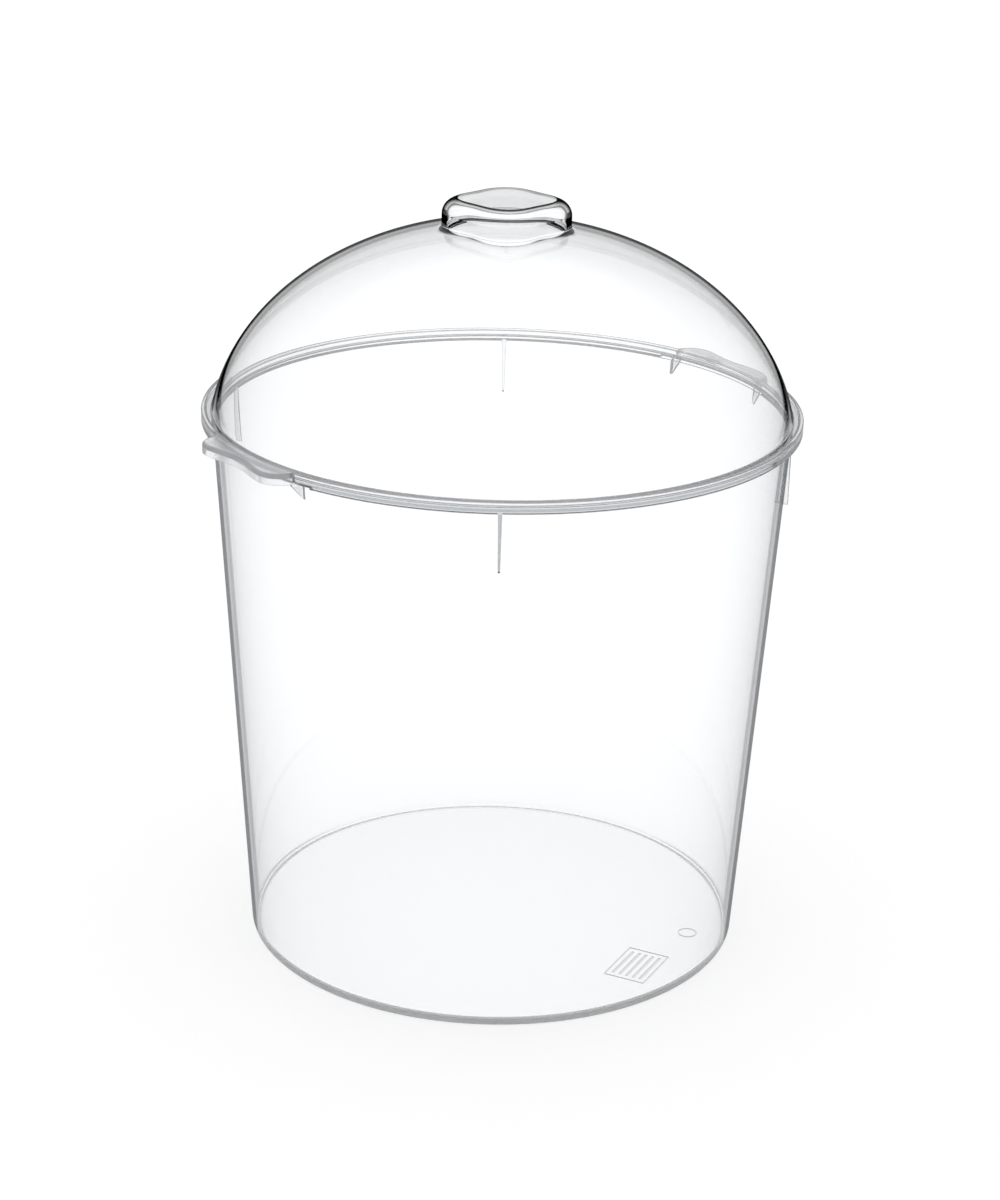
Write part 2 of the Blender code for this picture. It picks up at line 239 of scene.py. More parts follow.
class CoverSizes(bpy.types.PropertyGroup):
    """Sizes of the domed cover's turned shell."""

    wall: length("Wall", "Thickness of the dome's wall", 0.0025)
    flange: length("Flange", "Thickness of the flange that rests in the rim", 0.0028)
    step: length("Step", "Width of the flange outside the dome", 0.0032)
    edge: length("Flange edge radius", "Rounding of the flange's edges", 0.0006)
    rise: length("Dome rise", "Height of the dome over its flange", 0.1080)
    centre_drop: length("Centre drop", "Depth of the dome's centre under the flange", 0.0208)
    steps: count("Steps around", "Flat steps in one turn", 288)
    rings: count("Rings", "Rings of the full ellipsoid that the dome is cut from", 144)


class KnobSizes(bpy.types.PropertyGroup):
    """Sizes of the hollow knob."""

    radius: length("Radius", "Mean radius of the knob", 0.0346)
    wall: length("Wall", "Thickness of the knob's wall", 0.0025)
    corner: length("Corner radius", "Rounding of the knob's top edge", 0.0090)
    flare: length("Foot flare", "Reach of the foot's fillet on the dome", 0.0026)
    sink: length("Foot sink", "Depth to which the foot's fillet meets the dome", 0.0005)
    foot: length("Foot radius", "Rounding of the foot's fillet", 0.0022)
    square: share("Squareness", "How far the round plan goes towards a square", 0.075)
    turn: angle("Turn", "Angle of the plan's first corner from the ears' line", 53)
    steps: count("Steps around", "Flat steps in one turn", 192)


class PlasticFinish(bpy.types.PropertyGroup):
    """Colours, painted edge and band shade, and polish of the clear plastic."""

    face: colour("Face colour", "Tint of the plastic seen head on", (0.995, 0.997, 1.0))
    # Painted shade: the wall is darkened where it is seen at a grazing angle, standing in for the
    # dark edges of its reflections
    wall_edge_shade: colour("Wall edge colour", "Tint of the wall at a grazing angle", (0.45, 0.46, 0.48))
    # Painted shade: the dome darkens towards its grazing edges
    dome_edge_shade: colour("Dome edge colour", "Tint of the dome at a grazing angle", (0.16, 0.165, 0.17))
    # Painted shade: the knob's outline and the light mirrored inside its side are painted nearly
    # black
    knob_edge_shade: colour("Knob edge colour", "Tint of the knob at a grazing angle", (0.01, 0.01, 0.01))
    shadow: colour("Shadow tint", "What each surface lets through to the floor", (0.93, 0.935, 0.94))
    rim: colour("Rim colour", "Tint of the rim and the flange", (0.988, 0.99, 0.993))
    # Painted shade: a grey band on the outer face of the rim's ledge
    band_shade: colour("Rim band colour", "Tint of the outer face of the rim's ledge", (0.7, 0.71, 0.72))
    ear: colour("Ear colour", "Tint of the ears' upright faces", (0.99, 0.992, 0.996))
    frost: colour("Frost colour", "Tint of the ears' level faces", (0.983, 0.987, 0.993))
    frost_roughness: share("Frost roughness", "Roughness of the ears", 0.18)
    scatter: share("Scatter", "Roughness where light is mirrored inside the plastic", 0.5)
    mark: colour("Mark colour", "Tint of the engraved marks", (0.8, 0.81, 0.82))
    # Painted shade: the sides of the fins and webs are greyed, and their outer edges darker still
    fin: colour("Fin colour", "Tint of the sides of fins and webs", (0.88, 0.885, 0.89))
    fin_edge: colour("Fin edge colour", "Tint of the outer edges of fins and webs", (0.5, 0.51, 0.52))
    roughness: share("Roughness", "Roughness of the polished surface", 0.008)
    refraction: FloatProperty(
        name="Refraction", description="Refractive index of polycarbonate", default=1.585, min=1
    )


class StudioSizes(bpy.types.PropertyGroup):
    """The floor, the light and the camera."""

    floor: colour("Floor colour", "Colour of the studio floor", (0.45, 0.45, 0.45))
    glow: share("Floor glow", "White that the floor gives out by itself", 0.59)
    # Painted light: the floor glows brighter where it is seen through plastic, and brighter again
    # under the base
    through: share("Glow through plastic", "White added where it is seen through plastic", 0.13)
    under_base_glow: share("Gathered light", "White added under the base as well", 0.15)
    floor_size: length("Floor size", "Side of the square floor", 24.0)
    floor_gap: length("Floor gap", "Gap between the floor and the underside", 0.0002)
    near: length("Near floor", "Reach of the bright floor in reflections", 0.8)
    near_shade: share("Near shade", "Brightness of the near floor in reflections", 0.72)
    ring: length("Dark ring", "Inner radius of the dark ring in the floor's reflections", 1.7)
    ring_end: length("Dark ring end", "Outer radius of that dark ring", 2.4)
    far: length("Far floor", "Distance past which reflections show the far floor", 2.8)
    far_shade: share("Far shade", "Brightness of the far floor in reflections", 0.5)
    inner_shade: share("Inner shade", "Brightness of what the plastic's own thickness mirrors", 0.8)
    wall_shade: share("Wall shade", "Brightness of the light above the horizon in reflections", 0.6)
    azimuth: angle("Azimuth", "Turn of the view about the bucket's axis", -37)
    distance: length("Distance", "Level distance of the camera from the axis", 1.5841)
    height: length("Height", "Height of the camera over the floor", 0.8120)
    pitch: angle("Pitch", "How far the camera looks down", 20.9485)
    yaw: angle("Yaw", "How far the camera looks past the axis", 0.0388)
    roll: angle("Roll", "Turn of the camera about its line of sight", 1.31)


SIZE_GROUPS = {
    "clear_bucket": BucketSizes,
    "clear_ears": EarSizes,
    "clear_fins": FinSizes,
    "clear_marks": MarkSizes,
    "clear_cover": CoverSizes,
    "clear_knob": KnobSizes,
    "clear_plastic": PlasticFinish,
    "clear_studio": StudioSizes,
}


def activate(piece):
    """Makes a piece the one selected object."""
    deselect()
    piece.select_set(True)
    bpy.context.view_layer.objects.active = piece


def start_object(name):
    """Names the primitive that was just added and opens it for editing."""
    piece = bpy.context.object
    activate(piece)
    bpy.ops.object.transform_apply(location=True, rotation=True, scale=True)
    piece.name = name
    piece.data.name = name
    bpy.ops.object.mode_set(mode="EDIT")
    return piece


def deselect():
    """Leaves every object unselected, in object mode."""
    if bpy.context.object and bpy.context.object.mode != "OBJECT":
        bpy.ops.object.mode_set(mode="OBJECT")
    bpy.ops.object.select_all(action="DESELECT")


def pick(piece, kind, wanted):
    """Selects those verts, edges or faces of a piece in edit mode that a test accepts."""
    bpy.ops.mesh.select_mode(type=kind[:-1].upper())
    bpy.ops.mesh.select_all(action="DESELECT")
    shell = bmesh.from_edit_mesh(piece.data)
    for part in getattr(shell, kind):
        part.select_set(wanted(part))
    shell.select_flush_mode()
    bmesh.update_edit_mesh(piece.data)


def ring(radius, height):
    """A test for edges that lie on a level circle."""
    return lambda edge: all(
        abs(hypot(vert.co.x, vert.co.y) - radius) < TOUCH and abs(vert.co.z - height) < TOUCH
        for vert in edge.verts
    )


def facing(direction):
    """A test for faces that look in a direction."""
    way = Vector(direction)
    return lambda face: face.normal.dot(way) > 1 - TOUCH


def select_whole():
    """Selects all of the piece in edit mode."""
    bpy.ops.mesh.select_all(action="SELECT")


def move(*way):
    """Moves the selection in edit mode."""
    bpy.ops.transform.translate(value=way)


def resize(*scale):
    """Scales the selection in edit mode about the origin."""
    bpy.ops.transform.resize(value=scale, center_override=(0, 0, 0))


def extrude(rise):
    """Extrudes the selection upwards, or downwards by a negative rise."""
    bpy.ops.mesh.extrude_region_move(TRANSFORM_OT_translate={"value": (0, 0, rise)})


def extrude_to(rise, radius, from_radius):
    """Extrudes the selection upwards by a rise and scales it to a new radius."""
    extrude(rise)
    resize(radius / from_radius, radius / from_radius, 1)


def round_edges(piece, wanted, rounding, segments=SMALL_SEGMENTS):
    """Rounds those edges of a piece in edit mode that a test accepts."""
    pick(piece, "edges", wanted)
    bpy.ops.mesh.bevel(offset=rounding, segments=segments, affect="EDGES")


def place(piece):
    """Closes a piece's editing and moves its place into its mesh."""
    activate(piece)
    bpy.ops.object.transform_apply(location=True, rotation=True, scale=True)
    return piece


def place_turned(piece, turn):
    """Closes a piece's editing and turns it about Z."""
    place(piece)
    piece.data.transform(Matrix.Rotation(turn, 4, "Z"))
    return piece


def copy_turned(piece, name, turn):
    """A copy of a placed piece with its own mesh, turned about Z."""
    activate(piece)
    bpy.ops.object.duplicate()
    copy = bpy.context.object
    copy.name = name
    copy.data.name = name
    return place_turned(copy, turn)


def combine(piece, others, operation):
    """Joins shapes to a piece, or cuts them out of it, and removes them."""
    for other in others:
        activate(piece)
        boolean = piece.modifiers.new(other.name, "BOOLEAN")
        boolean.operation = operation
        boolean.solver = "EXACT"
        boolean.object = other
        bpy.ops.object.modifier_apply(modifier=boolean.name)
        bpy.data.meshes.remove(other.data)


def point_outwards():
    """Points all faces of the piece in edit mode outwards."""
    select_whole()
    bpy.ops.mesh.normals_make_consistent(inside=False)


def merge_doubles(distance):
    """Merges the doubles of the piece in edit mode and points its faces outwards."""
    select_whole()
    bpy.ops.mesh.remove_doubles(threshold=distance)
    point_outwards()


def smooth(piece):
    """Merges doubles, points the faces outwards and shades the round faces smooth."""
    activate(piece)
    bpy.ops.object.mode_set(mode="EDIT")
    merge_doubles(TOUCH / 4)
    bpy.ops.object.mode_set(mode="OBJECT")
    bpy.ops.object.shade_smooth_by_angle(angle=SHARP_ANGLE)
    weighted = piece.modifiers.new("even_shading", "WEIGHTED_NORMAL")
    weighted.keep_sharp = True
    weighted.weight = SHADING_WEIGHT
    bpy.ops.object.modifier_apply(modifier=weighted.name)


def rim_underside(sizes):
    """Height of the rim's underside."""
    return EAR_TOP - sizes.ear_rise - sizes.lip_rise - sizes.ledge


def wall_radius(sizes, height):
    """Outer radius of the bucket's tapered wall at a height."""
    taper = (sizes.wall_top_radius - sizes.base_radius) / rim_underside(sizes)
    return sizes.base_radius + taper * height


class BUCKET_OT_shell(bpy.types.Operator):
    """Turn the bucket's wall, floor and rim"""

    bl_idname = "clear_bucket.shell"
    bl_label = "Bucket shell"

    def execute(self, context):
        sizes = context.scene.clear_bucket
        top = EAR_TOP - sizes.ear_rise
        ledge = top - sizes.lip_rise
        underside = ledge - sizes.ledge
        lip_inside = RIM_RADIUS - sizes.lip
        throat = wall_radius(sizes, ledge) - sizes.wall
        floor_radius = wall_radius(sizes, sizes.floor) - sizes.wall
        bpy.ops.mesh.primitive_cone_add(
            vertices=sizes.steps,
            radius1=sizes.base_radius,
            radius2=sizes.wall_top_radius,
            depth=underside,
            location=(0, 0, underside / 2),
        )
        shell = start_object("bucket_shell")
        pick(shell, "faces", facing((0, 0, 1)))
        extrude_to(0, RIM_RADIUS, sizes.wall_top_radius)
        extrude_to(top - underside, RIM_RADIUS, RIM_RADIUS)
        extrude_to(0, lip_inside, RIM_RADIUS)
        extrude_to(ledge - top, lip_inside, lip_inside)
        extrude_to(0, throat, lip_inside)
        extrude_to(sizes.floor - ledge, floor_radius, throat)
        round_edges(shell, ring(sizes.base_radius, 0), sizes.base_edge, LARGE_SEGMENTS)
        for radius, height in (
            (sizes.wall_top_radius, underside),
            (RIM_RADIUS, underside),
            (RIM_RADIUS, top),
            (lip_inside, top),
            (lip_inside, ledge),
            (throat, ledge),
        ):
            round_edges(shell, ring(radius, height), sizes.edge)
        round_edges(shell, ring(floor_radius, sizes.floor), sizes.floor_corner, LARGE_SEGMENTS)
        place(shell)
        notch = make_notch(sizes, underside)
        combine(shell, [notch, copy_turned(notch, "notch_left", pi)], "DIFFERENCE")
        return {"FINISHED"}


class BUCKET_OT_ears(bpy.types.Operator):
    """Add the two carrying ears with their webs"""

    bl_idname = "clear_bucket.ears"
    bl_label = "Carrying ears"

    def execute(self, context):
        scene = context.scene
        ear = make_ear(scene.clear_ears)
        webs = [make_web(scene.clear_bucket, scene.clear_ears, side) for side in (1, -1)]
        combine(ear, webs, "UNION")
        shapes = [ear, copy_turned(ear, "ear_left", pi)]
        combine(bpy.data.objects["bucket_shell"], shapes, "UNION")
        return {"FINISHED"}


class BUCKET_OT_fins(bpy.types.Operator):
    """Add the four stacking fins under the rim"""

    bl_idname = "clear_bucket.fins"
    bl_label = "Stacking fins"

    def execute(self, context):
        scene = context.scene
        fin = make_fin(scene.clear_bucket, scene.clear_fins)
        turn = scene.clear_fins.place
        turns = (pi - turn, pi + turn, -turn)
        fins = [copy_turned(fin, "fin_%d" % (index + 2), to) for index, to in enumerate(turns)]
        fins.append(place_turned(fin, turn))
        combine(bpy.data.objects["bucket_shell"], fins, "UNION")
        return {"FINISHED"}


class BUCKET_OT_marks(bpy.types.Operator):
    """Engrave a plain ring and a plain ruled frame in the underside"""

    bl_idname = "clear_bucket.marks"
    bl_label = "Base marks"

    def execute(self, context):
        sizes = context.scene.clear_marks
        shell = bpy.data.objects["bucket_shell"]
        cutters = [make_ring_mark(sizes), make_frame_mark(sizes)]
        cutters += [make_bar_mark(sizes, index) for index in range(sizes.bars)]
        combine(shell, cutters, "DIFFERENCE")
        return {"FINISHED"}


class BUCKET_OT_cover(bpy.types.Operator):
    """Turn the cover's dome and flange"""

    bl_idname = "clear_bucket.cover"
    bl_label = "Domed cover"

    def execute(self, context):
        sizes = context.scene.clear_cover
        flange_top = FLANGE_UNDERSIDE + sizes.flange
        dome_foot = FLANGE_RADIUS - sizes.step
        outer = make_half_dome("cover_shell", sizes, 0, flange_top)
        select_border(outer)
        extrude_to(0, FLANGE_RADIUS, dome_foot)
        extrude_to(-sizes.flange, FLANGE_RADIUS, FLANGE_RADIUS)
        place(outer)
        inner = make_half_dome("dome_inside", sizes, sizes.wall, FLANGE_UNDERSIDE)
        select_whole()
        bpy.ops.mesh.flip_normals()
        place(inner)
        activate(outer)
        inner.select_set(True)
        bpy.ops.object.join()
        bpy.ops.object.mode_set(mode="EDIT")
        select_border(outer)
        bpy.ops.mesh.bridge_edge_loops()
        point_outwards()
        for radius, height in (
            (FLANGE_RADIUS, flange_top),
            (FLANGE_RADIUS, FLANGE_UNDERSIDE),
            (dome_foot, flange_top),
        ):
            round_edges(outer, ring(radius, height), sizes.edge)
        place(outer)
        return {"FINISHED"}


class BUCKET_OT_knob(bpy.types.Operator):
    """Add the hollow knob to the dome"""

    bl_idname = "clear_bucket.knob"
    bl_label = "Knob"

    def execute(self, context):
        scene = context.scene
        cover = bpy.data.objects["cover_shell"]
        combine(cover, [make_knob(scene.clear_cover, scene.clear_knob)], "UNION")
        combine(cover, [make_knob_hollow(scene.clear_cover, scene.clear_knob)], "DIFFERENCE")
        return {"FINISHED"}


class BUCKET_OT_finish(bpy.types.Operator):
    """Shade the two mouldings and give them their clear plastic"""

    bl_idname = "clear_bucket.finish"
    bl_label = "Plastic finish"

    def execute(self, context):
        for shell_name, node, body in (
            ("bucket_shell", "bucket", "bucket_body"),
            ("cover_shell", "dome_cover", "cover_body"),
        ):
            shell = bpy.data.objects[shell_name]
            smooth(shell)
            slot = SLOTS[node]
            shell.data.materials.clear()
            shell.data.materials.append(clear_plastic(slot, context.scene))
            frame["nodes"][node].data.materials.clear()
            frame["nodes"][node].data.materials.append(bpy.data.materials[slot])
            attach(shell, body)
            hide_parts(node)
        return {"FINISHED"}


class BUCKET_OT_studio(bpy.types.Operator):
    """Set the floor, the soft light and the camera"""

    bl_idname = "clear_bucket.studio"
    bl_label = "Studio"

    def execute(self, context):
        sizes = context.scene.clear_studio
        height = BUCKET_LOW.z - sizes.floor_gap
        bpy.ops.mesh.primitive_plane_add(size=sizes.floor_size, location=(0, 0, height))
        floor = bpy.context.object
        floor.name = "studio_floor"
        bpy.ops.object.transform_apply(location=True)
        under_radius = context.scene.clear_bucket.base_radius
        floor.data.materials.append(floor_paint(sizes, under_radius))
        light_world(context.scene, sizes)
        set_camera(context.scene, sizes)
        context.scene.view_settings.view_transform = "Standard"
        return {"FINISHED"}


class BUCKET_PT_panel(bpy.types.Panel):
    """The steps of the bucket, in the order of making"""

    bl_idname = "BUCKET_PT_panel"
    bl_label = "Clear storage bucket"
    bl_space_type = "VIEW_3D"
    bl_region_type = "UI"
    bl_category = "Bucket"

    def draw(self, context):
        for operator in OPERATORS:
            self.layout.operator(operator.bl_idname)
        for name, group in SIZE_GROUPS.items():
            box = self.layout.box()
            box.label(text=group.__doc__)
            for key in group.__annotations__:
                box.prop(getattr(context.scene, name), key)


OPERATORS = (
    BUCKET_OT_shell,
    BUCKET_OT_ears,
    BUCKET_OT_fins,
    BUCKET_OT_marks,
    BUCKET_OT_cover,
    BUCKET_OT_knob,
    BUCKET_OT_finish,
    BUCKET_OT_studio,
)


def make_notch(sizes, underside):
    """A shallow cutter that raises the rim's underside next to the right ear."""
    inner = sizes.wall_top_radius + sizes.edge
    outer = RIM_RADIUS + OVERRUN
    height = sizes.notch_depth + OVERRUN
    steps = round(sizes.notch_half_angle / pi * sizes.steps)
    bpy.ops.mesh.primitive_plane_add(size=1, rotation=(pi / 2, 0, 0))
    cutter = start_object("notch")
    resize(outer - inner, 1, height)
    move((outer + inner) / 2, 0, underside + sizes.notch_depth - height / 2)
    bpy.ops.mesh.spin(
        steps=steps, angle=2 * sizes.notch_half_angle, center=(0, 0, 0), axis=(0, 0, 1)
    )
    merge_doubles(TOUCH)
    return place_turned(cutter, -spin_middle(cutter))


def spin_middle(piece):
    """The mean angle about Z of a piece in edit mode, as it stands in the world."""
    points = [piece.matrix_world @ vert.co for vert in bmesh.from_edit_mesh(piece.data).verts]
    return sum(atan2(point.y, point.x) for point in points) / len(points)


def ear_edge(sizes, inset):
    """Points along half of an ear's outer edge, from its waist over the lobe to its root."""
    lobe_x = EAR_LOBE_X - inset
    half_width = sizes.half_width - inset
    root_x = sqrt(RIM_RADIUS ** 2 - half_width ** 2)
    half = sizes.steps // 2
    points = []
    for step in range(half):
        wave = (1 + cos(pi * step / half)) / 2
        points.append((lobe_x - sizes.waist * wave, sizes.lobe_offset * step / half))
    for step in range(half + 1):
        turn = pi / 2 * step / half
        points.append((
            root_x + (lobe_x - root_x) * cos(turn),
            sizes.lobe_offset + (half_width - sizes.lobe_offset) * sin(turn),
        ))
    return points


def ear_plate(name, sizes, inset, root_radius, top, depth):
    """A level plate in the plan of an ear, open for editing."""
    half_edge = ear_edge(sizes, inset)
    edge = [(x, -y) for x, y in half_edge[:0:-1]] + half_edge
    root_turn = asin((sizes.half_width - inset) / root_radius)
    for step in range(sizes.root_steps + 1):
        turn = root_turn * (1 - 2 * step / sizes.root_steps)
        edge.append((root_radius * cos(turn), root_radius * sin(turn)))
    bpy.ops.mesh.primitive_circle_add(vertices=len(edge), fill_type="NGON")
    plate = start_object(name)
    outline = bmesh.from_edit_mesh(plate.data)
    for vert, (x, y) in zip(outline.verts, edge):
        vert.co = (x, y, top)
    bmesh.update_edit_mesh(plate.data)
    select_whole()
    extrude(-depth)
    point_outwards()
    return plate


def make_ear(sizes):
    """The right ear: a wavy plate with a turned-down edge, hollow from below."""
    root_radius = RIM_RADIUS - sizes.root
    ear = ear_plate("ear_right", sizes, 0, root_radius, EAR_TOP, sizes.depth)
    for height, rounding in ((EAR_TOP, sizes.edge), (EAR_TOP - sizes.depth, sizes.foot_edge)):
        round_edges(ear, outer_edge(root_radius, height), rounding)
    place(ear)
    hollow_top = EAR_TOP - sizes.plate
    hollow_depth = sizes.depth - sizes.plate + OVERRUN
    hollow = ear_plate(
        "ear_hollow", sizes, sizes.rim, root_radius - OVERRUN, hollow_top, hollow_depth
    )
    combine(ear, [place(hollow)], "DIFFERENCE")
    return ear


def outer_edge(root_radius, height):
    """A test for the level edges of an ear that don't lie on its root."""
    def wanted(edge):
        level = all(abs(vert.co.z - height) < TOUCH for vert in edge.verts)
        away = any(hypot(vert.co.x, vert.co.y) > root_radius + TOUCH for vert in edge.verts)
        return level and away
    return wanted


def make_web(bucket, sizes, side):
    """A triangular web under one end of the right ear."""
    underside = rim_underside(bucket)
    offset = sizes.half_width - (sizes.web + FUSE / 2) / 2
    wall_x = sqrt(wall_radius(bucket, underside - sizes.web_height) ** 2 - offset ** 2)
    outer_x = wall_x + sizes.web_length
    lip_x = sqrt((RIM_RADIUS - bucket.lip / 2) ** 2 - offset ** 2)
    top = EAR_TOP - sizes.plate + FUSE / 2
    shoulder = underside + bucket.notch_depth + FUSE
    across = (-sizes.web / 2, sizes.web / 2)
    web = box_shape("web", (wall_x - FUSE, outer_x), across, (underside, shoulder))
    pick(web, "faces", facing((0, 0, -1)))
    extrude(-sizes.web_height)
    pick(web, "verts", lambda vert: vert.co.z < underside - TOUCH and vert.co.x > wall_x)
    move(-sizes.web_length, 0, 0)
    select_whole()
    bpy.ops.mesh.bisect(plane_co=(lip_x, 0, 0), plane_no=(1, 0, 0))
    pick(web, "faces", lambda face: face.normal.z > 1 - TOUCH
         and face.calc_center_median().x > lip_x)
    extrude(top - shoulder)
    select_whole()
    move(0, side * offset, 0)
    return place(web)


def box_shape(name, along, across, upright):
    """A box between two places on each axis, opened for editing."""
    bpy.ops.mesh.primitive_cube_add(size=1)
    box = start_object(name)
    spans = (along, across, upright)
    resize(*[high - low for low, high in spans])
    move(*[(low + high) / 2 for low, high in spans])
    return box


def make_fin(bucket, sizes):
    """A stacking fin on the X axis, thinner towards its foot."""
    underside = rim_underside(bucket)
    foot = underside - sizes.height
    outer_x = bucket.wall_top_radius + sizes.reach
    inner_x = wall_radius(bucket, foot) - FUSE
    across = (-sizes.top / 2, sizes.top / 2)
    fin = box_shape("fin_1", (inner_x, outer_x), across, (foot, underside + FUSE))
    pick(fin, "verts", lambda vert: vert.co.z > underside and vert.co.x < outer_x - TOUCH)
    move(bucket.wall_top_radius - FUSE - inner_x, 0, 0)
    pick(fin, "verts", lambda vert: vert.co.z < foot + TOUCH)
    resize(1, sizes.foot / sizes.top, 1)
    round_edges(fin, outer_upright(outer_x, sizes.height / 2), sizes.foot / 4)
    return place(fin)


def outer_upright(outer_x, least):
    """A test for edges on the outer side of a fin that rise by more than a least height."""
    def wanted(edge):
        first, last = edge.verts
        outer = min(first.co.x, last.co.x) > outer_x - TOUCH
        return outer and abs(first.co.z - last.co.z) > least
    return wanted


def flat_oblong(name, along, across):
    """A level oblong, opened for editing."""
    bpy.ops.mesh.primitive_plane_add(size=1)
    outline = start_object(name)
    resize(along, across, 1)
    return outline


def open_middle(line):
    """Leaves only a line's width along the border of a flat face in edit mode."""
    bpy.ops.mesh.inset(thickness=line)
    bpy.ops.mesh.delete(type="FACE")


def engrave(outline, depth, reach, around, turn):
    """Makes a flat outline in edit mode a cutter, and moves it to its place on the underside."""
    select_whole()
    move(0, 0, -OVERRUN)
    extrude(OVERRUN + depth)
    point_outwards()
    place(outline)
    spot = Matrix.Translation((reach * cos(around), reach * sin(around), 0))
    outline.data.transform(spot @ Matrix.Rotation(turn, 4, "Z"))
    return outline


def make_ring_mark(sizes):
    """A plain ring to engrave."""
    bpy.ops.mesh.primitive_circle_add(vertices=MARK_STEPS, radius=sizes.ring, fill_type="NGON")
    outline = start_object("ring_mark")
    open_middle(sizes.line)
    return engrave(outline, sizes.depth, sizes.ring_reach, sizes.ring_place, 0)


def make_frame_mark(sizes):
    """A plain oblong frame to engrave."""
    outline = flat_oblong("frame_mark", sizes.frame_length, sizes.frame_width)
    open_middle(sizes.line)
    return engrave(outline, sizes.depth, sizes.frame_reach, sizes.frame_place, sizes.frame_turn)


def make_bar_mark(sizes, index):
    """One of the plain bars inside the frame."""
    spacing = sizes.frame_width / (sizes.bars + 1)
    along = sizes.frame_length - 2 * spacing
    outline = flat_oblong("bar_mark_%d" % (index + 1), along, sizes.bar)
    move(0, spacing * (index + 1) - sizes.frame_width / 2, 0)
    return engrave(outline, sizes.depth, sizes.frame_reach, sizes.frame_place, sizes.frame_turn)


def dome_shape(sizes):
    """Centre height, half width and half height of the dome's outer ellipsoid."""
    flange_top = FLANGE_UNDERSIDE + sizes.flange
    half_height = sizes.rise + sizes.centre_drop
    foot = FLANGE_RADIUS - sizes.step
    half_width = foot / sqrt(1 - (sizes.centre_drop / half_height) ** 2)
    return flange_top - sizes.centre_drop, half_width, half_height


def dome_height(sizes, radius, inset=0):
    """Height of the dome's surface at a radius, with inset for its inner side."""
    centre, half_width, half_height = dome_shape(sizes)
    return centre + (half_height - inset) * sqrt(1 - (radius / (half_width - inset)) ** 2)


def make_half_dome(name, sizes, inset, foot):
    """One side of the dome's wall, from its crown down to a height, open for editing."""
    centre, half_width, half_height = dome_shape(sizes)
    bpy.ops.mesh.primitive_uv_sphere_add(
        segments=sizes.steps, ring_count=sizes.rings, radius=half_width - inset
    )
    dome = start_object(name)
    rise = (half_height - inset) / (half_width - inset)
    resize(1, 1, rise)
    move(0, 0, centre)
    select_whole()
    bpy.ops.mesh.bisect(plane_co=(0, 0, foot), plane_no=(0, 0, 1), clear_inner=True)
    return dome


def select_border(piece):
    """Selects the open border of a piece in edit mode."""
    pick(piece, "edges", lambda edge: edge.is_boundary)


def make_knob(cover, sizes):
    """The knob's outside, with the fillet at its foot."""
    foot_radius = sizes.radius + sizes.flare
    foot = dome_height(cover, foot_radius) - sizes.sink
    neck = dome_height(cover, sizes.radius) + sizes.sink
    bpy.ops.mesh.primitive_cone_add(
        vertices=sizes.steps,
        radius1=foot_radius,
        radius2=sizes.radius,
        depth=neck - foot,
        location=(0, 0, (neck + foot) / 2),
    )
    knob = start_object("knob")
    pick(knob, "faces", facing((0, 0, 1)))
    extrude_to(KNOB_TOP - neck, sizes.radius, sizes.radius)
    round_edges(knob, ring(sizes.radius, neck), sizes.foot, LARGE_SEGMENTS)
    round_edges(knob, ring(sizes.radius, KNOB_TOP), sizes.corner, LARGE_SEGMENTS)
    place(knob)
    square_up(knob, cover, sizes, foot)
    return knob


def make_knob_hollow(cover, sizes):
    """The space under the knob, open to the dome."""
    radius = sizes.radius - sizes.wall
    foot = dome_height(cover, radius, cover.wall) - OVERRUN
    top = KNOB_TOP - sizes.wall
    bpy.ops.mesh.primitive_cylinder_add(
        vertices=sizes.steps, radius=radius, depth=top - foot, location=(0, 0, (top + foot) / 2)
    )
    hollow = start_object("knob_hollow")
    round_edges(hollow, ring(radius, top), sizes.corner - sizes.wall, LARGE_SEGMENTS)
    place(hollow)
    square_up(hollow, cover, sizes, foot)
    return hollow


def square_up(piece, cover, sizes, foot):
    """Draws a round plan towards a square, while the low rings follow the dome's curve."""
    top = max(vert.co.z for vert in piece.data.vertices)
    for vert in piece.data.vertices:
        radius = hypot(vert.co.x, vert.co.y)
        if radius < TOUCH:
            continue
        stretch = 1 + sizes.square * cos(4 * (atan2(vert.co.y, vert.co.x) - sizes.turn))
        follow = (top - vert.co.z) / (top - foot)
        rise = follow * (dome_height(cover, radius * stretch) - dome_height(cover, radius))
        vert.co = (vert.co.x * stretch, vert.co.y * stretch, vert.co.z + rise)


def operate(tree, kind, operation, *values):
    """A math node, made from sockets and numbers."""
    node = tree.nodes.new(kind)
    node.operation = operation
    for slot, value in enumerate(values):
        if isinstance(value, bpy.types.NodeSocket):
            tree.links.new(value, node.inputs[slot])
        else:
            node.inputs[slot].default_value = value
    return node


def number(tree, operation, *values):
    """A number worked out from others."""
    return operate(tree, "ShaderNodeMath", operation, *values).outputs["Value"]


def axis_distance(tree, place_socket):
    """The distance of a place from the upright axis."""
    level = operate(tree, "ShaderNodeVectorMath", "MULTIPLY", place_socket, (1, 1, 0))
    reach = operate(tree, "ShaderNodeVectorMath", "LENGTH", level.outputs["Vector"])
    return reach.outputs["Value"]


def blend(tree, factor, first, second):
    """A number between two others, by a factor socket."""
    return number(tree, "MULTIPLY_ADD", factor, number(tree, "SUBTRACT", second, first), first)


def blend_colour(tree, factor, first, second):
    """A colour between two others, by a factor socket."""
    node = tree.nodes.new("ShaderNodeMix")
    node.data_type = "RGBA"
    tree.links.new(factor, node.inputs["Factor"])
    for slot, value in zip(MIX_COLOURS, (first, second)):
        if isinstance(value, bpy.types.NodeSocket):
            tree.links.new(value, node.inputs[slot])
        else:
            node.inputs[slot].default_value = (*value, 1)
    return node.outputs[MIX_RESULT]


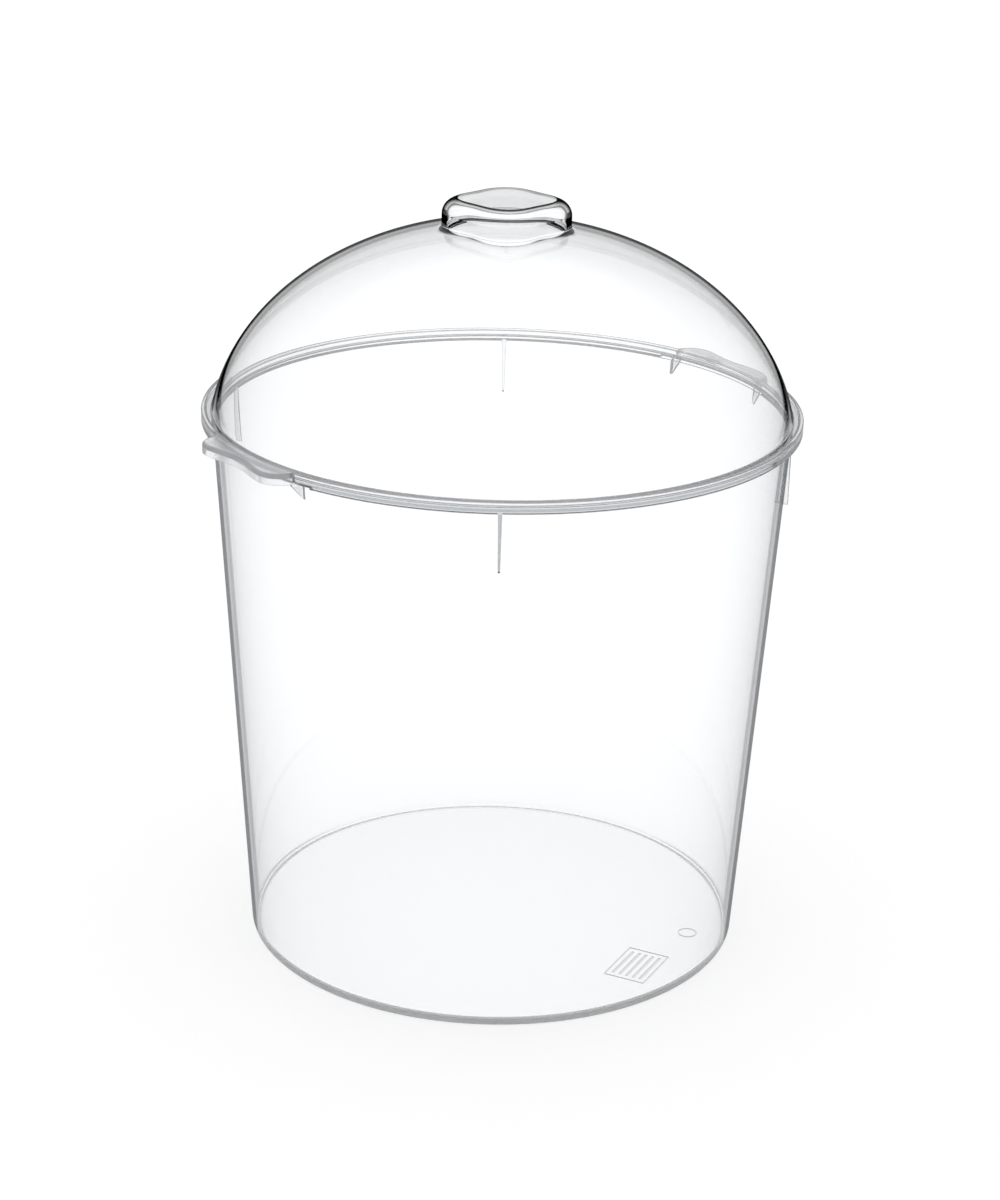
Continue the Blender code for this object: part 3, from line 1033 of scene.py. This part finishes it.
def ramp_by(tree, value, stops):
    """A colour that follows a value, by stops of place and colour."""
    ramp = tree.nodes.new("ShaderNodeValToRGB")
    steps = ramp.color_ramp.elements
    for index, (at, level) in enumerate(stops):
        stop = steps[index] if index < 2 else steps.new(at)
        stop.position = at
        stop.color = (*level, 1) if hasattr(level, "__len__") else (level, level, level, 1)
    tree.links.new(value, ramp.inputs["Fac"])
    return ramp.outputs["Color"]


def above(tree, value, limit):
    """1 where a value is over a limit, or else 0."""
    return number(tree, "GREATER_THAN", value, limit)


def below(tree, value, limit):
    """1 where a value is under a limit, or else 0."""
    return number(tree, "LESS_THAN", value, limit)


def none_of(tree, mask):
    """1 where a mask is 0, or else 0."""
    return number(tree, "SUBTRACT", 1, mask)


def all_of(tree, *masks):
    """1 where every mask is 1, or else 0."""
    overlap = masks[0]
    for mask in masks[1:]:
        overlap = number(tree, "MULTIPLY", overlap, mask)
    return overlap


class Spot:
    """Sockets for the place and the lean of the point that is shaded."""

    def __init__(self, tree, refraction):
        self.tree = tree
        coords = tree.nodes.new("ShaderNodeTexCoord")
        self.place = coords.outputs["Object"]
        self.normal = coords.outputs["Normal"]
        parts = tree.nodes.new("ShaderNodeSeparateXYZ")
        tree.links.new(self.place, parts.inputs["Vector"])
        self.y = parts.outputs["Y"]
        self.height = parts.outputs["Z"]
        self.radius = axis_distance(tree, self.place)
        lean = tree.nodes.new("ShaderNodeSeparateXYZ")
        tree.links.new(self.normal, lean.inputs["Vector"])
        self.level = number(tree, "ABSOLUTE", lean.outputs["Z"])
        self.grazing = tree.nodes.new("ShaderNodeLayerWeight").outputs["Facing"]
        inside = tree.nodes.new("ShaderNodeNewGeometry").outputs["Backfacing"]
        total = 1 - sqrt(1 - 1 / refraction ** 2)
        self.mirrored = all_of(tree, inside, above(tree, self.grazing, total))

    def facing_out(self):
        """1 where the surface looks away from the axis."""
        kind = "ShaderNodeVectorMath"
        outward = operate(self.tree, kind, "DOT_PRODUCT", self.place, self.normal)
        return above(self.tree, outward.outputs["Value"], RIM_RADIUS * OUTWARD_SHARE)


def clear_plastic(name, scene):
    """Clear polycarbonate with painted shade, whose tint depends on the place and on how grazing the
    view is.
    """
    finish = scene.clear_plastic
    material = bpy.data.materials.new(name)
    material.use_nodes = True
    tree = material.node_tree
    tree.nodes.remove(tree.nodes["Principled BSDF"])
    shader = tree.nodes.new("ShaderNodeBsdfGlass")
    shader.inputs["IOR"].default_value = finish.refraction
    spot = Spot(tree, finish.refraction)
    haze = tree.nodes.new("ShaderNodeTexNoise")
    haze.inputs["Scale"].default_value = HAZE_SCALE
    tree.links.new(spot.place, haze.inputs["Vector"])
    polish = number(tree, "MULTIPLY", haze.outputs["Fac"], finish.roughness * 2)
    if name == SLOTS["bucket"]:
        tint, frosted, ends = bucket_tint_and_shade(spot, scene)
        polish = blend(tree, frosted, polish, finish.frost_roughness)
    else:
        tint, ends = cover_tint_and_shade(spot, scene)
    polish = blend(tree, all_of(tree, spot.mirrored, ends), polish, finish.scatter)
    tree.links.new(tint, shader.inputs["Color"])
    tree.links.new(polish, shader.inputs["Roughness"])
    through = tree.nodes.new("ShaderNodeBsdfTransparent")
    through.inputs["Color"].default_value = (*finish.shadow, 1)
    path = tree.nodes.new("ShaderNodeLightPath")
    mix = tree.nodes.new("ShaderNodeMixShader")
    tree.links.new(path.outputs["Is Shadow Ray"], mix.inputs["Fac"])
    tree.links.new(shader.outputs["BSDF"], mix.inputs[1])
    tree.links.new(through.outputs["BSDF"], mix.inputs[2])
    tree.links.new(mix.outputs["Shader"], tree.nodes["Material Output"].inputs["Surface"])
    return material


def bucket_tint_and_shade(spot, scene):
    """The bucket's tint with painted shade, where its frosted ears are and where its base and top
    are.
    """
    tree, finish, bucket, ears = spot.tree, scene.clear_plastic, scene.clear_bucket, scene.clear_ears
    underside = rim_underside(bucket)
    taper = (bucket.wall_top_radius - bucket.base_radius) / underside
    drawn_in = number(tree, "MULTIPLY", spot.height, taper)
    proud = number(tree, "SUBTRACT", spot.radius, drawn_in)
    off_wall = above(tree, proud, bucket.base_radius + FUSE / 2)
    rim = above(tree, spot.height, underside - FUSE / 4)
    below_rim = none_of(tree, rim)
    below_lip = below(tree, spot.height, underside + bucket.ledge)
    at_ear = below(tree, number(tree, "ABSOLUTE", spot.y), ears.half_width + TOUCH)
    on_ear = all_of(tree, at_ear, above(tree, spot.radius, RIM_RADIUS - ears.root - TOUCH), rim)
    off_ear = none_of(tree, on_ear)
    at_base = below(tree, spot.height, bucket.floor + TOUCH)
    low = below(tree, spot.height, bucket.floor / 2)
    inward = below(tree, spot.radius, bucket.base_radius - bucket.wall)
    engraved = all_of(tree, low, inward, above(tree, spot.height, scene.clear_marks.depth / 2))
    out = spot.facing_out()
    # Painted shade: the wall darkens towards its grazing edges
    tint = ramp_by(tree, spot.grazing, zip(WALL_GRAZING, (finish.face, finish.wall_edge_shade)))
    for mask, tone in (
        (at_base, finish.face),
        (engraved, finish.mark),
        (rim, finish.rim),
        # Painted shade: grey band on the outer face of the rim's ledge
        (all_of(tree, rim, below_lip, out, off_ear), finish.band_shade),
        (on_ear, finish.ear),
        (all_of(tree, on_ear, above(tree, spot.level, EAR_TOP_START)), finish.frost),
        # Painted shade on the fins and webs, darker at their outer edges
        (all_of(tree, off_wall, below_rim), finish.fin),
        (all_of(tree, off_wall, below_rim, out), finish.fin_edge),
    ):
        tint = blend_colour(tree, mask, tint, tone)
    near_base = below(tree, spot.height, SCATTER_FLOORS * bucket.floor)
    near_top = above(tree, spot.height, SCATTER_TOP_SHARE * underside)
    return tint, on_ear, number(tree, "MAXIMUM", near_base, near_top)


def cover_tint_and_shade(spot, scene):
    """The cover's tint with painted shade, dark at the knob's and the dome's edges, and where its
    flange is.
    """
    tree, finish, cover, knob = spot.tree, scene.clear_plastic, scene.clear_cover, scene.clear_knob
    flange_top = FLANGE_UNDERSIDE + cover.flange
    on_dome = above(tree, spot.height, flange_top + cover.edge)
    on_knob = above(tree, spot.height, flange_top + cover.rise + knob.foot / 2)
    sloping = below(tree, spot.level, KNOB_TOP_START)
    upright = below(tree, spot.level, KNOB_SIDE_END)
    # Painted shade at the grazing edges of the dome and of the knob
    dome = ramp_by(tree, spot.grazing, zip(DOME_GRAZING, (finish.face, finish.dome_edge_shade)))
    side = ramp_by(tree, spot.grazing, zip(KNOB_GRAZING, (finish.face, finish.knob_edge_shade)))
    tint = blend_colour(tree, on_dome, finish.rim, dome)
    tint = blend_colour(tree, all_of(tree, on_knob, sloping), tint, side)
    # Painted shade: light mirrored inside the knob's upright side is painted dark
    tint = blend_colour(tree, all_of(tree, on_knob, upright, spot.mirrored), tint, finish.knob_edge_shade)
    return tint, below(tree, spot.height, flange_top + cover.wall)


def seen_mirrored(tree, path):
    """1 for light that was mirrored on its way to the eye, or else 0."""
    return number(tree, "MINIMUM", path.outputs["Glossy Depth"], 1)


def floor_paint(sizes, under_radius):
    """A matt pale floor that shows white, keeps the shadow and is darker in reflections."""
    material = bpy.data.materials.new("floor_paint")
    material.use_nodes = True
    tree = material.node_tree
    shader = tree.nodes["Principled BSDF"]
    shader.inputs["Roughness"].default_value = 1
    shader.inputs["Specular IOR Level"].default_value = 0
    shader.inputs["Emission Color"].default_value = (1, 1, 1, 1)
    spot = tree.nodes.new("ShaderNodeTexCoord")
    reach = axis_distance(tree, spot.outputs["Object"])
    stops = (
        (sizes.near, sizes.near_shade),
        ((sizes.near + sizes.ring) / 2, sizes.far_shade),
        (RING_FADE_SHARE * sizes.ring, sizes.far_shade),
        (sizes.ring, 0),
        (sizes.ring_end, 0),
        (sizes.far, sizes.far_shade),
    )
    shares = [(radius / sizes.far, level) for radius, level in stops]
    shade = ramp_by(tree, number(tree, "DIVIDE", reach, sizes.far), shares)
    path = tree.nodes.new("ShaderNodeLightPath")
    through = path.outputs["Is Transmission Ray"]
    mirrored = seen_mirrored(tree, path)
    few = below(tree, path.outputs["Transmission Depth"], INNER_PASSES + 0.5)
    in_wall = all_of(tree, few, through)
    inner = blend(tree, in_wall, 1, sizes.inner_shade)
    level = blend(tree, mirrored, 1, number(tree, "MULTIPLY", shade, inner))
    paint = blend_colour(tree, level, (0, 0, 0), sizes.floor)
    tree.links.new(paint, shader.inputs["Base Color"])
    seen = number(tree, "MAXIMUM", path.outputs["Is Camera Ray"], path.outputs["Is Glossy Ray"])
    seen = number(tree, "MAXIMUM", seen, through)
    # Painted light under the base, seen only through the plastic
    under = all_of(tree, below(tree, reach, under_radius), none_of(tree, mirrored), through)
    white = number(tree, "MULTIPLY_ADD", through, sizes.through, sizes.glow)
    white = number(tree, "MULTIPLY_ADD", under, sizes.under_base_glow, white)
    glow = number(tree, "MULTIPLY", number(tree, "MULTIPLY", seen, white), level)
    tree.links.new(glow, shader.inputs["Emission Strength"])
    return material


def light_world(scene, sizes):
    """Soft even light from all round, dimmer towards the horizon in reflections."""
    world = bpy.data.worlds.new("studio_light")
    scene.world = world
    world.use_nodes = True
    tree = world.node_tree
    background = tree.nodes["Background"]
    background.inputs["Color"].default_value = (1, 1, 1, 1)
    way = tree.nodes.new("ShaderNodeTexCoord")
    parts = tree.nodes.new("ShaderNodeSeparateXYZ")
    tree.links.new(way.outputs["Generated"], parts.inputs["Vector"])
    shades = (sizes.far_shade, sizes.wall_shade, sizes.wall_shade, 1)
    shade = ramp_by(tree, parts.outputs["Z"], zip(SKY_STEPS, shades))
    path = tree.nodes.new("ShaderNodeLightPath")
    strength = blend(tree, seen_mirrored(tree, path), 1, shade)
    tree.links.new(strength, background.inputs["Strength"])


def set_camera(scene, sizes):
    """The camera at the photograph's viewing angle."""
    data = bpy.data.cameras.new("camera")
    camera = bpy.data.objects.new("camera", data)
    scene.collection.objects.link(camera)
    data.lens = LENS
    data.sensor_fit = "VERTICAL"
    data.sensor_height = PICTURE_HEIGHT
    camera.matrix_world = (
        Matrix.Rotation(sizes.azimuth, 4, "Z")
        @ Matrix.Translation((0, -sizes.distance, sizes.height))
        @ Matrix.Rotation(-sizes.yaw, 4, "Z")
        @ Matrix.Rotation(pi / 2 - sizes.pitch, 4, "X")
        @ Matrix.Rotation(sizes.roll, 4, "Z")
    )
    scene.camera = camera


def register():
    """Registers the size groups, the operators and the panel."""
    for name, group in SIZE_GROUPS.items():
        bpy.utils.register_class(group)
        setattr(bpy.types.Scene, name, PointerProperty(type=group))
    for cls in (*OPERATORS, BUCKET_PT_panel):
        bpy.utils.register_class(cls)


def unregister():
    """Takes the panel, the operators and the size groups away again."""
    for cls in (BUCKET_PT_panel, *reversed(OPERATORS)):
        bpy.utils.unregister_class(cls)
    for name, group in SIZE_GROUPS.items():
        delattr(bpy.types.Scene, name)
        bpy.utils.unregister_class(group)


def main():
    """Registers the add-on and makes every piece in order."""
    register()
    bpy.ops.clear_bucket.shell()
    bpy.ops.clear_bucket.ears()
    bpy.ops.clear_bucket.fins()
    bpy.ops.clear_bucket.marks()
    bpy.ops.clear_bucket.cover()
    bpy.ops.clear_bucket.knob()
    bpy.ops.clear_bucket.finish()
    bpy.ops.clear_bucket.studio()


if __name__ == "__main__":
    main()
